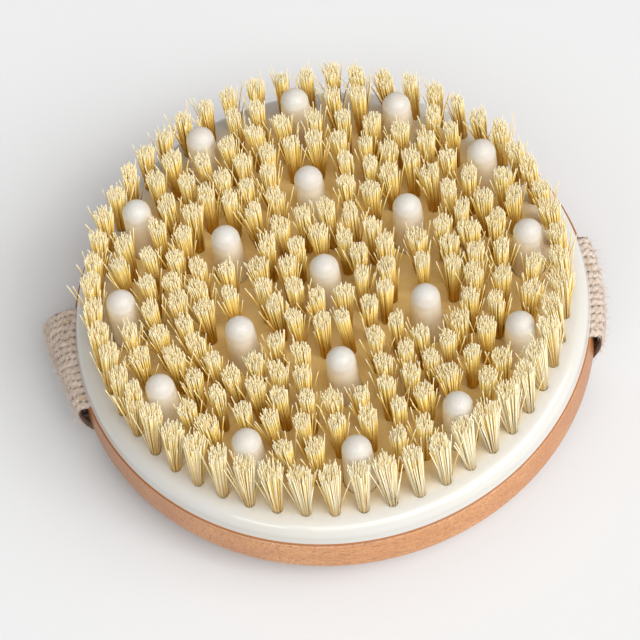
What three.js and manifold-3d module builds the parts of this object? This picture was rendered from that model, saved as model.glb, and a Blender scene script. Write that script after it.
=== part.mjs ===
// Round bath brush, lying on its hand strap with the bristles up.
// Millimetres, +Z up. The origin is on the surface that the brush lies on, on the axis of the round head.
// X runs along the hand strap and Y across it.

import * as THREE from "three";
import { mergeGeometries, mergeVertices } from "three/addons/utils/BufferGeometryUtils.js";
import Module from "manifold-3d";

const wasm = await Module();
wasm.setup();

// Hand strap: webbing that leaves the head on the left and the right, and the hand's room above its lower run
const STRAP_WIDTH = 28.4;
const STRAP_THICKNESS = 1.4;
const STRAP_LINE_OFFSET = -3.5;
const STRAP_LINE_SLOPE = -0.0385;
const STRAP_END_X = 38;
const STRAP_LOWER_BEND_SHARE = 0.93;
const HAND_GAP = 6.6;

// How far the strap stands out past the wood on each side, at its near edge and at its far edge
const STRAP_SIDES = {
  left: { direction: -1, nearBulge: 2.85, farBulge: 9.05, growth: 1.8 },
  right: { direction: 1, nearBulge: 3.15, farBulge: 2.75, growth: 1 },
};

// Wooden back: a turned disc with a rounded lower edge
const WOOD_RADIUS = 64.35;
const WOOD_THICKNESS = 12;
const WOOD_EDGE_RADIUS = 3;
const WOOD_LIP_RADIUS = 0.6;

// Channels in the wood for the strap's ends
const CHANNEL_DEPTH = 1.8;
const CHANNEL_SIDE_GAP = 0.35;
const CHANNEL_END_GAP = 0.5;
const PLATE_CLEARANCE = 0.3;

// Bristle plate: a moulded disc with a rounded shoulder
const PLATE_RADIUS = 63.15;
const PLATE_THICKNESS = 4.5;
const PLATE_SHOULDER = 3.4;
const FACE_RADIUS = 59.4;
const FACE_DEPTH = 1.5;
const FACE_GAP = 0.3;

// Massage nodules: tapered pegs with round tops, in sockets of the plate
const NODULE_RINGS = [
  { radius: 0, count: 1, first: 0 },
  { radius: 25.6, count: 6, first: 30 },
  { radius: 49.1, count: 12, first: 0 },
];
const NODULE_BASE_RADIUS = 4.1;
const NODULE_DOME_RADIUS = 3.5;
const NODULE_HEIGHT = 18;
const NODULE_SEAT = 3.2;
const SOCKET_RADIUS = 4.45;

// Tufts: each ring repeats its offsets in equal sectors, with angles in degrees
const TUFT_GROUPS = [
  {
    name: "tufts_centre",
    outerRadius: 19.4,
    rings: [
      { radius: 9, sectors: 9, first: 10, offsets: [0] },
      { radius: 15.4, sectors: 16, first: 11, offsets: [0] },
    ],
  },
  {
    name: "tufts_inner",
    outerRadius: 33,
    rings: [
      { radius: 23.3, sectors: 6, first: 0, offsets: [-8, 8] },
      { radius: 30.2, sectors: 6, first: 0, offsets: [-11, 0, 11] },
    ],
  },
  {
    name: "tufts_middle",
    outerRadius: 43.6,
    rings: [
      { radius: 35.9, sectors: 36, first: 5, offsets: [0] },
      { radius: 42.2, sectors: 36, first: 5, offsets: [0] },
    ],
  },
  {
    name: "tufts_outer",
    outerRadius: FACE_RADIUS - FACE_GAP,
    rings: [
      { radius: 49, sectors: 12, first: 15, offsets: [-3.75, 3.75] },
      { radius: 57, sectors: 53, first: 4.5, offsets: [0] },
    ],
  },
];
const BRISTLE_LENGTH = 17.5;
const BRISTLE_RAGGEDNESS = 1;
const BRISTLE_ROOT = 0.8;
const STRAND_SIDES = 3;
const STRAND_ROOT_RADIUS = 0.75;
const STRAND_TIP_RADIUS = 0.6;
const STRAND_ROOT_SPREAD = 0.75;
const STRAND_TIP_SPREAD = 1.35;
const TUFT_LEAN = 0.5;

// Staples that hold the strap's ends on the wood
const STAPLE_X = 44;
const STAPLE_OFFSET = 7;
const STAPLE_WIDTH = 9;
const STAPLE_LEG_LENGTH = 7;
const STAPLE_LEG_WIDTH = 0.9;
const STAPLE_CROWN = 0.6;
const STAPLE_DEPTH = 1;
const STAPLE_CLEARANCE = 0.15;

// Smoothness of the turned and bent forms
const DISC_SEGMENTS = 72;
const NODULE_SEGMENTS = 16;
const SOCKET_SEGMENTS = 16;
const ARC_STEPS = 5;
const BEND_STEPS = 7;
const STRAP_STRIPS = 8;

// Heights worked out from the sizes above
const WOOD_BOTTOM = STRAP_THICKNESS + HAND_GAP;
const WOOD_TOP = WOOD_BOTTOM + WOOD_THICKNESS;
const PLATE_TOP = WOOD_TOP + PLATE_THICKNESS;
const FACE_FLOOR = PLATE_TOP - FACE_DEPTH;
const SEAT_FLOOR = PLATE_TOP - NODULE_SEAT;
const STRAP_UPPER = WOOD_TOP - PLATE_CLEARANCE - STRAP_THICKNESS / 2;
const STRAP_LOWER = STRAP_THICKNESS / 2;
const OVERCUT = 2;

const FINISH = {
  beech: new THREE.MeshStandardMaterial({ color: 0xb8794a, roughness: 0.45, metalness: 0 }),
  ivory: new THREE.MeshStandardMaterial({ color: 0xf0ead9, roughness: 0.25, metalness: 0 }),
  fibre: new THREE.MeshStandardMaterial({ color: 0xe3cd8c, roughness: 0.7, metalness: 0 }),
  rubber: new THREE.MeshStandardMaterial({ color: 0xe9dfd3, roughness: 0.55, metalness: 0 }),
  webbing: new THREE.MeshStandardMaterial({ color: 0xb5a596, roughness: 0.95, metalness: 0 }),
  steel: new THREE.MeshStandardMaterial({ color: 0xa9abad, roughness: 0.35, metalness: 1 }),
};

// Solids

function solidOf(geometry) {
  const bare = new THREE.BufferGeometry();
  bare.setAttribute("position", geometry.getAttribute("position"));
  bare.setIndex(geometry.index);
  const merged = mergeVertices(bare);
  return new wasm.Manifold(
    new wasm.Mesh({
      numProp: 3,
      vertProperties: merged.getAttribute("position").array,
      triVerts: new Uint32Array(merged.index.array),
    }),
  );
}

function geometryOf(solid) {
  const mesh = solid.getMesh();
  const geometry = new THREE.BufferGeometry();
  geometry.setAttribute("position", new THREE.BufferAttribute(mesh.vertProperties, 3));
  geometry.setIndex(new THREE.BufferAttribute(mesh.triVerts, 1));
  geometry.computeVertexNormals();
  return geometry;
}

function cut(geometry, cutters) {
  const tools = cutters.map(solidOf);
  return geometryOf(tools.reduce((solid, tool) => solid.subtract(tool), solidOf(geometry)));
}

function piece(name, geometry, material) {
  const mesh = new THREE.Mesh(geometry, material);
  mesh.name = name;
  return mesh;
}

// A closed profile of radius and height, turned about Z
function turned(profile, segments) {
  return new THREE.LatheGeometry(profile, segments).rotateX(Math.PI / 2);
}

// Points of an arc in a profile, from one angle to another
function arc(centreX, centreY, radius, from, to, steps) {
  return Array.from({ length: steps + 1 }, (_, k) => {
    const angle = THREE.MathUtils.degToRad(from + ((to - from) * k) / steps);
    return new THREE.Vector2(centreX + radius * Math.cos(angle), centreY + radius * Math.sin(angle));
  });
}

function onRing(radius, degrees) {
  const angle = THREE.MathUtils.degToRad(degrees);
  return new THREE.Vector2(radius * Math.cos(angle), radius * Math.sin(angle));
}

// Repeatable small variation between -1 and 1
function vary(seed) {
  const value = Math.sin(seed * 12.9898) * 43758.5453;
  return 2 * (value - Math.floor(value)) - 1;
}

// Places

function strapLine(x) {
  return STRAP_LINE_OFFSET + STRAP_LINE_SLOPE * x;
}

const nodulePlaces = NODULE_RINGS.flatMap(({ radius, count, first }) =>
  Array.from({ length: count }, (_, k) => onRing(radius, first + (360 * k) / count)),
);

function tuftPlaces({ radius, sectors, first, offsets }) {
  return Array.from({ length: sectors }, (_, k) => first + (360 * k) / sectors).flatMap((middle) =>
    offsets.map((offset) => ({ radius, degrees: middle + offset })),
  );
}

function socketCutters(floor) {
  const height = PLATE_TOP + OVERCUT - floor;
  return nodulePlaces.map(({ x, y }) =>
    new THREE.CylinderGeometry(SOCKET_RADIUS, SOCKET_RADIUS, height, SOCKET_SEGMENTS)
      .rotateX(Math.PI / 2)
      .translate(x, y, floor + height / 2),
  );
}

const staples = Object.entries(STRAP_SIDES).flatMap(([side, { direction }]) =>
  [
    ["far", 1],
    ["near", -1],
  ].map(([edge, across]) => {
    const x = direction * STAPLE_X;
    return { name: `strap_staple_${side}_${edge}`, x, y: strapLine(x) + across * STAPLE_OFFSET };
  }),
);

// Staples: a flat crown with two legs, and the room that each takes in the webbing and the wood

function staple({ x, y }, clearance, headroom) {
  const half = STAPLE_WIDTH / 2 + clearance;
  const inner = STAPLE_WIDTH / 2 - STAPLE_LEG_WIDTH - clearance;
  const top = headroom;
  const crownFloor = -STAPLE_CROWN - clearance;
  const legFloor = -STAPLE_CROWN - STAPLE_LEG_LENGTH - clearance;
  const outline = new THREE.Shape([
    new THREE.Vector2(-half, top),
    new THREE.Vector2(-half, legFloor),
    new THREE.Vector2(-inner, legFloor),
    new THREE.Vector2(-inner, crownFloor),
    new THREE.Vector2(inner, crownFloor),
    new THREE.Vector2(inner, legFloor),
    new THREE.Vector2(half, legFloor),
    new THREE.Vector2(half, top),
  ]);
  const depth = STAPLE_DEPTH + 2 * clearance;
  const upright = new THREE.Matrix4().makeBasis(
    new THREE.Vector3(0, 1, 0),
    new THREE.Vector3(0, 0, 1),
    new THREE.Vector3(1, 0, 0),
  );
  return new THREE.ExtrudeGeometry(outline, { depth, bevelEnabled: false })
    .translate(0, 0, -depth / 2)
    .applyMatrix4(upright)
    .translate(x, y, STRAP_UPPER + STRAP_THICKNESS / 2);
}

const stapleRoom = () => staples.map((place) => staple(place, STAPLE_CLEARANCE, OVERCUT));

// Wooden back: the turned disc, the strap's channels and the holes of the staples' legs

function channelCutter(direction) {
  const half = STRAP_WIDTH / 2 + CHANNEL_SIDE_GAP;
  const inner = direction * (STRAP_END_X - CHANNEL_END_GAP);
  const outer = direction * (WOOD_RADIUS + OVERCUT);
  const corners = [
    [inner, strapLine(inner) - half],
    [outer, strapLine(outer) - half],
    [outer, strapLine(outer) + half],
    [inner, strapLine(inner) + half],
  ];
  const outline = new THREE.Shape(corners.map(([x, y]) => new THREE.Vector2(x, y)));
  const depth = CHANNEL_DEPTH + OVERCUT;
  return new THREE.ExtrudeGeometry(outline, { depth, bevelEnabled: false }).translate(
    0,
    0,
    WOOD_TOP - CHANNEL_DEPTH,
  );
}

function woodenBack() {
  const edge = WOOD_RADIUS - WOOD_EDGE_RADIUS;
  const lip = WOOD_RADIUS - WOOD_LIP_RADIUS;
  const profile = [
    new THREE.Vector2(0, WOOD_BOTTOM),
    ...arc(edge, WOOD_BOTTOM + WOOD_EDGE_RADIUS, WOOD_EDGE_RADIUS, -90, 0, ARC_STEPS),
    ...arc(lip, WOOD_TOP - WOOD_LIP_RADIUS, WOOD_LIP_RADIUS, 0, 90, 2),
    new THREE.Vector2(0, WOOD_TOP),
  ];
  const disc = turned(profile, DISC_SEGMENTS);
  const channels = Object.values(STRAP_SIDES).map(({ direction }) => channelCutter(direction));
  return cut(disc, [...channels, ...stapleRoom()]);
}

// Bristle plate: the rounded rim, the recessed face and the nodules' sockets

function bristlePlate() {
  const shoulder = PLATE_RADIUS - PLATE_SHOULDER;
  const profile = [
    new THREE.Vector2(0, WOOD_TOP),
    new THREE.Vector2(PLATE_RADIUS, WOOD_TOP),
    ...arc(shoulder, PLATE_TOP - PLATE_SHOULDER, PLATE_SHOULDER, 0, 90, ARC_STEPS),
    new THREE.Vector2(FACE_RADIUS, PLATE_TOP),
    new THREE.Vector2(FACE_RADIUS, FACE_FLOOR),
    new THREE.Vector2(0, FACE_FLOOR),
  ];
  return cut(turned(profile, DISC_SEGMENTS), socketCutters(SEAT_FLOOR));
}

// Tufts: two strands stand for each tuft, rooted in a ring-shaped slice of the plate's face

function strand(root, tip) {
  const corners = [
    [root, STRAND_ROOT_RADIUS],
    [tip, STRAND_TIP_RADIUS],
  ].flatMap(([centre, radius]) =>
    Array.from({ length: STRAND_SIDES }, (_, k) => {
      const around = onRing(radius, (360 * k) / STRAND_SIDES);
      return [centre.x + around.x, centre.y + around.y, centre.z];
    }),
  );
  const sides = Array.from({ length: STRAND_SIDES }, (_, k) => {
    const next = (k + 1) % STRAND_SIDES;
    return [k, next, next + STRAND_SIDES, k, next + STRAND_SIDES, k + STRAND_SIDES];
  });
  const geometry = new THREE.BufferGeometry();
  geometry.setAttribute("position", new THREE.Float32BufferAttribute(corners.flat(), 3));
  geometry.setIndex([0, 2, 1, 3, 4, 5, ...sides.flat()]);
  return geometry;
}

function tuft({ radius, degrees }, seed) {
  const middle = onRing(radius, degrees);
  const along = onRing(1, degrees + 90);
  const lean = onRing(TUFT_LEAN * vary(seed), 180 * vary(seed + 0.5));
  return [-1, 1].map((side) => {
    const rootShift = side * STRAND_ROOT_SPREAD;
    const tipShift = side * STRAND_TIP_SPREAD;
    const height = BRISTLE_LENGTH + BRISTLE_RAGGEDNESS * vary(seed + side / 4);
    const root = new THREE.Vector3(
      middle.x + rootShift * along.x,
      middle.y + rootShift * along.y,
      PLATE_TOP - BRISTLE_ROOT,
    );
    const tip = new THREE.Vector3(
      middle.x + tipShift * along.x + lean.x,
      middle.y + tipShift * along.y + lean.y,
      PLATE_TOP + height,
    );
    return strand(root, tip);
  });
}

function faceSlice(innerRadius, outerRadius) {
  const walls = [
    new THREE.Vector2(outerRadius, FACE_FLOOR),
    new THREE.Vector2(outerRadius, PLATE_TOP),
    new THREE.Vector2(innerRadius, PLATE_TOP),
  ];
  const floor = new THREE.Vector2(innerRadius, FACE_FLOOR);
  return turned([floor, ...walls, floor], DISC_SEGMENTS);
}

function tuftGroup({ rings, outerRadius }, innerRadius) {
  const slice = solidOf(cut(faceSlice(innerRadius, outerRadius), socketCutters(FACE_FLOOR - OVERCUT)));
  const strands = rings.flatMap(tuftPlaces).flatMap(({ radius, degrees }) =>
    tuft({ radius, degrees }, radius + degrees),
  );
  return geometryOf(slice.add(solidOf(mergeGeometries(strands))));
}

// Massage nodule: a peg that fits its socket, a slight taper and a round top

function massageNodule() {
  const domeCentre = PLATE_TOP + NODULE_HEIGHT - NODULE_DOME_RADIUS;
  const profile = [
    new THREE.Vector2(0, SEAT_FLOOR),
    new THREE.Vector2(NODULE_BASE_RADIUS, SEAT_FLOOR),
    new THREE.Vector2(NODULE_BASE_RADIUS, PLATE_TOP),
    ...arc(0, domeCentre, NODULE_DOME_RADIUS, 0, 90, ARC_STEPS),
  ];
  return turned(profile, NODULE_SEGMENTS);
}

// Hand strap: the path of each strip of the webbing, from its end under the plate to the lower run.
// The lower bend takes up most of the height that the upper bend leaves.

// Stations along a bend, each with the direction that the webbing's outer face looks in
function bend(centreX, centreZ, radius, from, to) {
  return Array.from({ length: BEND_STEPS + 1 }, (_, k) => {
    const angle = THREE.MathUtils.degToRad(from + ((to - from) * k) / BEND_STEPS);
    const outX = Math.cos(angle);
    const outZ = Math.sin(angle);
    return { x: centreX + radius * outX, z: centreZ + radius * outZ, outX, outZ };
  });
}

function strapSide({ direction, nearBulge, farBulge, growth }, across) {
  const share = across / STRAP_WIDTH + 0.5;
  const bulge = nearBulge + (farBulge - nearBulge) * share ** growth;
  const rim = Math.sqrt(WOOD_RADIUS ** 2 - (strapLine(direction * WOOD_RADIUS) + across) ** 2);
  const upperBend = bulge - STRAP_THICKNESS / 2;
  const lowerBend = STRAP_LOWER_BEND_SHARE * (STRAP_UPPER - upperBend - STRAP_LOWER);
  const lowerCentre = rim + upperBend - lowerBend;
  const stations = [
    { x: STRAP_END_X, z: STRAP_UPPER, outX: 0, outZ: 1 },
    ...bend(rim, STRAP_UPPER - upperBend, upperBend, 90, 0),
    ...bend(lowerCentre, STRAP_LOWER + lowerBend, lowerBend, 0, -90),
  ];
  return stations.map((station) => ({
    ...station,
    x: direction * station.x,
    outX: direction * station.outX,
  }));
}

function handStrap() {
  const strips = Array.from({ length: STRAP_STRIPS + 1 }, (_, k) => STRAP_WIDTH * (k / STRAP_STRIPS - 0.5));
  const paths = strips.map((across) => [
    ...strapSide(STRAP_SIDES.left, across),
    ...strapSide(STRAP_SIDES.right, across).reverse(),
  ]);
  const half = STRAP_THICKNESS / 2;
  const corner = (strip, station, side) => {
    const { x, z, outX, outZ } = paths[strip][station];
    return [x + side * half * outX, strapLine(x) + strips[strip], z + side * half * outZ];
  };
  const stationCount = paths[0].length;
  const rings = Array.from({ length: stationCount }, (_, station) => [
    ...strips.map((_, strip) => corner(strip, station, 1)),
    ...strips.map((_, strip) => corner(strip, station, -1)).reverse(),
  ]);
  const around = rings[0].length;
  const index = [];
  for (let station = 0; station + 1 < stationCount; station++) {
    for (let k = 0; k < around; k++) {
      const a = station * around + k;
      const b = station * around + ((k + 1) % around);
      index.push(a, b, b + around, a, b + around, a + around);
    }
  }
  for (let strip = 0; strip < STRAP_STRIPS; strip++) {
    const low = around - 1 - strip;
    const last = (stationCount - 1) * around;
    index.push(strip, low, low - 1, strip, low - 1, strip + 1);
    index.push(last + strip, last + low - 1, last + low, last + strip, last + strip + 1, last + low - 1);
  }
  const geometry = new THREE.BufferGeometry();
  geometry.setAttribute("position", new THREE.Float32BufferAttribute(rings.flat(2), 3));
  geometry.setIndex(index);
  return cut(geometry, stapleRoom());
}

// The brush, put together

const back = new THREE.Group();
back.add(piece("wooden_back", woodenBack(), FINISH.beech));
back.add(piece("hand_strap", handStrap(), FINISH.webbing));
for (const place of staples) {
  back.add(piece(place.name, staple(place, 0, 0), FINISH.steel));
}

const head = new THREE.Group();
head.add(piece("bristle_plate", bristlePlate(), FINISH.ivory));
TUFT_GROUPS.forEach((group, k) => {
  const innerRadius = k === 0 ? 0 : TUFT_GROUPS[k - 1].outerRadius + FACE_GAP;
  head.add(piece(group.name, tuftGroup(group, innerRadius), FINISH.fibre));
});
nodulePlaces.forEach(({ x, y }, k) => {
  const nodule = piece(`massage_nodule_${String(k + 1).padStart(2, "0")}`, massageNodule(), FINISH.rubber);
  nodule.position.set(x, y, 0);
  head.add(nodule);
});

const brush = new THREE.Group();
brush.name = "bath_brush";
brush.add(back, head);

export default brush;
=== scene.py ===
"""Round bath brush with a hand strap, shown lying on the strap with its bristles up.

Sizes are in metres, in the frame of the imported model: X runs along the strap, Y across it and Z up.
"""

from __future__ import annotations

import logging
import math
from collections.abc import Iterable, Sequence
from dataclasses import dataclass, field
from enum import Enum
from typing import Any

import bpy
import numpy as np
from mathutils import Matrix, Vector


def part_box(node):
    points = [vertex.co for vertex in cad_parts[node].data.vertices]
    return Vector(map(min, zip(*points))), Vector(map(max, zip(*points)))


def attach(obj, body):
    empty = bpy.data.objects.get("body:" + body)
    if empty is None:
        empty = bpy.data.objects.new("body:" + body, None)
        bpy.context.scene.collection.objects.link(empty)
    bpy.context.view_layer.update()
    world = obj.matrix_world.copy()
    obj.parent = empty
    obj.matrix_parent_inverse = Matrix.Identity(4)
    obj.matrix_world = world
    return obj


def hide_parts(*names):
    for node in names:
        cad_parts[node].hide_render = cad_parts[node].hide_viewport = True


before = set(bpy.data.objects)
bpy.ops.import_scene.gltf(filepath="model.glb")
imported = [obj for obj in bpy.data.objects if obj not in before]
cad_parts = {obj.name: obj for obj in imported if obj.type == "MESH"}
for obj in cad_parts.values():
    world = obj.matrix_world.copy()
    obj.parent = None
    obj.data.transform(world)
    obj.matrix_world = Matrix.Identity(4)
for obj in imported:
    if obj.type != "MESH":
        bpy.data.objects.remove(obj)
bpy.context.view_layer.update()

log = logging.getLogger("bath_brush")

MM = 0.001
BODY = "root"
BAKE_MAP = "OFBake"
GOLDEN_ANGLE = math.pi * (3 - math.sqrt(5))
FULL_TURN = 2 * math.pi

# A strand that rises more steeply than this is squared up by X, and any other by Z
STEEP = 0.7

# The strands' room on the map, across it by tone and up it by length, and the size of a face there
MAP_ACROSS = (0.02, 0.98)
MAP_UP = (0.01, 0.98)
MAP_FACE = (0.02, 0.006)

# A span is a stretch of numbers and the stretch that it becomes
Span = tuple[float, float, float, float]
Pair = tuple[float, float]
Profile = list[Pair]
Colour = tuple[float, float, float]
Piece = bpy.types.Object
Socket = bpy.types.NodeSocket


class Slot(Enum):
    """The record's material slots."""

    BEECH = "beech"
    IVORY = "ivory_plastic"
    FIBRE = "bristle_fibre"
    RUBBER = "nodule_rubber"
    WEBBING = "webbing"
    STEEL = "staple_steel"


class Side(Enum):
    """The two sides where the strap leaves the head, as directions along X."""

    LEFT = -1
    RIGHT = 1


# Meshes


@dataclass
class Shape:
    """Points and faces of a mesh in the making."""

    points: np.ndarray
    faces: list[tuple[int, ...]]

    def moved(self, x: float, y: float) -> Shape:
        """Gives a copy of the shape, shifted along X and Y."""
        return Shape(self.points + np.array([x, y, 0.0]), self.faces)

    @staticmethod
    def joined(shapes: Iterable[Shape]) -> Shape:
        """Puts separate shapes into one.

        Args:
            shapes: The shapes, which keep their places.

        Returns:
            One shape with all their points and faces.
        """
        points: list[np.ndarray] = []
        faces: list[tuple[int, ...]] = []
        first = 0
        for shape in shapes:
            points.append(shape.points)
            faces.extend(tuple(k + first for k in face) for face in shape.faces)
            first += len(shape.points)
        return Shape(np.concatenate(points), faces)

    def piece(self, name: str) -> Piece:
        """Makes an object of the shape.

        Args:
            name: The piece's name.

        Returns:
            The new object, linked to the scene.
        """
        mesh = bpy.data.meshes.new(name)
        mesh.from_pydata(self.points.tolist(), [], self.faces)
        mesh.update()
        return linked(name, mesh)


def linked(name: str, data: bpy.types.ID) -> bpy.types.Object:
    """Links new object data to the scene.

    Args:
        name: The object's name.
        data: Its mesh, light or camera.

    Returns:
        The new object.
    """
    made = bpy.data.objects.new(name, data)
    bpy.context.scene.collection.objects.link(made)
    return made


def arc(centre: Pair, radius: float, start: float, end: float, steps: int) -> Profile:
    """Points of an arc in a profile, with both ends among them and the angles in degrees."""
    angles = np.radians(np.linspace(start, end, steps + 1))
    return [(centre[0] + radius * math.cos(a), centre[1] + radius * math.sin(a)) for a in angles]


def turned(profile: Profile, segments: int) -> Shape:
    """Turns a profile about Z.

    Args:
        profile: Points of radius and height, from the lower end of the axis out and up to its upper end.
        segments: How many steps go round.

    Returns:
        A closed shape that faces out.
    """
    points: list[tuple[float, float, float]] = []
    rings: list[list[int]] = []
    for radius, height in profile:
        steps = segments if radius > 0 else 1
        rings.append([len(points) + k for k in range(steps)])
        for k in range(steps):
            angle = FULL_TURN * k / steps
            points.append((radius * math.cos(angle), radius * math.sin(angle), height))
    faces: list[tuple[int, ...]] = []
    for low, high in zip(rings, rings[1:]):
        for k in range(segments):
            corners = (
                low[k % len(low)],
                low[(k + 1) % len(low)],
                high[(k + 1) % len(high)],
                high[k % len(high)],
            )
            faces.append(tuple(dict.fromkeys(corners)))
    return Shape(np.array(points), faces)


def subtract(piece: Piece, cutter: Shape) -> None:
    """Cuts a shape out of a piece.

    Args:
        piece: The piece, whose mesh is replaced by the cut one.
        cutter: The closed shape to take away.
    """
    tool = cutter.piece(piece.name + "_cutter")
    cut = piece.modifiers.new("cut", "BOOLEAN")
    cut.operation = "DIFFERENCE"
    cut.solver = "EXACT"
    cut.object = tool
    graph = bpy.context.evaluated_depsgraph_get()
    whole = piece.data
    piece.data = bpy.data.meshes.new_from_object(piece.evaluated_get(graph))
    piece.modifiers.clear()
    bpy.data.meshes.remove(whole)
    bpy.data.objects.remove(tool)


def smooth(piece: Piece, crease: float) -> None:
    """Shades a piece smoothly, but for edges where faces meet at more than the crease, in degrees."""
    piece.data.shade_smooth()
    piece.data.set_sharp_from_angle(angle=math.radians(crease))


def quad_mesh(name: str, points: np.ndarray, quads: np.ndarray) -> bpy.types.Mesh:
    """Makes a smooth mesh of many four-sided faces at once.

    Args:
        name: The mesh's name.
        points: Its points, one a row.
        quads: The four points of each face, one face a row.

    Returns:
        The new mesh.
    """
    mesh = bpy.data.meshes.new(name)
    mesh.vertices.add(len(points))
    mesh.vertices.foreach_set("co", points.astype(np.float32).ravel())
    mesh.loops.add(quads.size)
    mesh.loops.foreach_set("vertex_index", quads.astype(np.int32).ravel())
    mesh.polygons.add(len(quads))
    mesh.polygons.foreach_set("loop_start", np.arange(0, quads.size, 4, dtype=np.int32))
    mesh.polygons.foreach_set("use_smooth", np.ones(len(quads), dtype=bool))
    mesh.update(calc_edges=True)
    return mesh


def strands(
    name: str, lines: np.ndarray, radii: np.ndarray, turns: np.ndarray, sides: int
) -> bpy.types.Mesh:
    """Makes many thin strands at once, each closed at both ends.

    Args:
        name: The mesh's name.
        lines: The strands' middle lines, as strands by stations by X, Y and Z.
        radii: Each strand's radius at each of its stations.
        turns: Each strand's turn about its line, in radians.
        sides: The number of sides, which is even.

    Returns:
        The new mesh.
    """
    count, stations = radii.shape
    heading = lines[:, -1] - lines[:, 0]
    heading /= np.linalg.norm(heading, axis=1)[:, None]
    steep = np.abs(heading[:, 2:]) > STEEP
    helper = np.where(steep, (1.0, 0.0, 0.0), (0.0, 0.0, 1.0))
    across = np.cross(helper, heading)
    across /= np.linalg.norm(across, axis=1)[:, None]
    upward = np.cross(heading, across)
    corner = turns[:, None] + np.arange(sides) * FULL_TURN / sides
    ring = np.cos(corner)[:, :, None] * across[:, None] + np.sin(corner)[:, :, None] * upward[:, None]
    points = lines[:, :, None] + ring[:, None] * radii[:, :, None, None]
    k = np.arange(sides)
    after = (k + 1) % sides
    wall = np.stack([k, after, after + sides, k + sides], 1)
    walls = [wall + station * sides for station in range(stations - 1)]
    half = np.arange(sides // 2 - 1)
    cap = np.stack([half, half + 1, sides - 2 - half, sides - 1 - half], 1)
    quads = np.concatenate([*walls, cap[:, ::-1], cap + (stations - 1) * sides])
    firsts = np.arange(count) * stations * sides
    return quad_mesh(name, points.reshape(-1, 3), (quads[None] + firsts[:, None, None]).reshape(-1, 4))


def tint_strands(mesh: bpy.types.Mesh, tone: np.ndarray, along: np.ndarray, sides: int) -> None:
    """Stores each strand's tone and the places along it, and lays the strands on the map by both.

    Args:
        mesh: The strands' mesh.
        tone: One number from 0 to 1 for each strand.
        along: The stations' places along a strand, from 0 to 1.
        sides: The number of sides.
    """
    tones = np.repeat(tone, len(along) * sides)
    places = np.tile(np.repeat(along, sides), len(tone))
    point_values(mesh, "tone", tones)
    point_values(mesh, "along", places)
    index = np.zeros(len(mesh.loops), np.int32)
    mesh.loops.foreach_get("vertex_index", index)
    width, height = MAP_FACE
    sideways = np.where(index % 2 == 0, -width / 2, width / 2)
    upward = np.where((index // 2) % 2 == 0, 0.0, height)
    across = np.interp(tones[index], (0, 1), MAP_ACROSS) + sideways
    up = np.interp(places[index], (0, 1), MAP_UP) + upward
    layer = mesh.uv_layers.new(name=BAKE_MAP)
    layer.uv.foreach_set("vector", np.stack([across, up], 1).astype(np.float32).ravel())


def point_values(mesh: bpy.types.Mesh, name: str, values: np.ndarray) -> None:
    """Stores one number for each point of a mesh, under a name that a material reads."""
    held = mesh.attributes.new(name, "FLOAT", "POINT")
    held.data.foreach_set("value", values.astype(np.float32).ravel())


def round_size(node: str) -> tuple[float, float, float]:
    """The radius, the bottom and the top of a round node."""
    low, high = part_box(node)
    return (high.x - low.x) / 2, low.z, high.z


def fit(piece: Piece, material: bpy.types.Material, nodes: Sequence[str]) -> None:
    """Dresses a piece and puts it in the place of its nodes.

    Args:
        piece: The piece, already where it belongs.
        material: Its material.
        nodes: The nodes that it stands for.
    """
    piece.data.materials.append(material)
    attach(piece, BODY)
    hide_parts(*nodes)


# Finishes


@dataclass(frozen=True)
class Grain:
    """How fine a noise is: features in a metre along X, Y and Z, and layers of finer ones."""

    x: float
    y: float
    z: float
    layers: float
    roughness: float = 0.55


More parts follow.
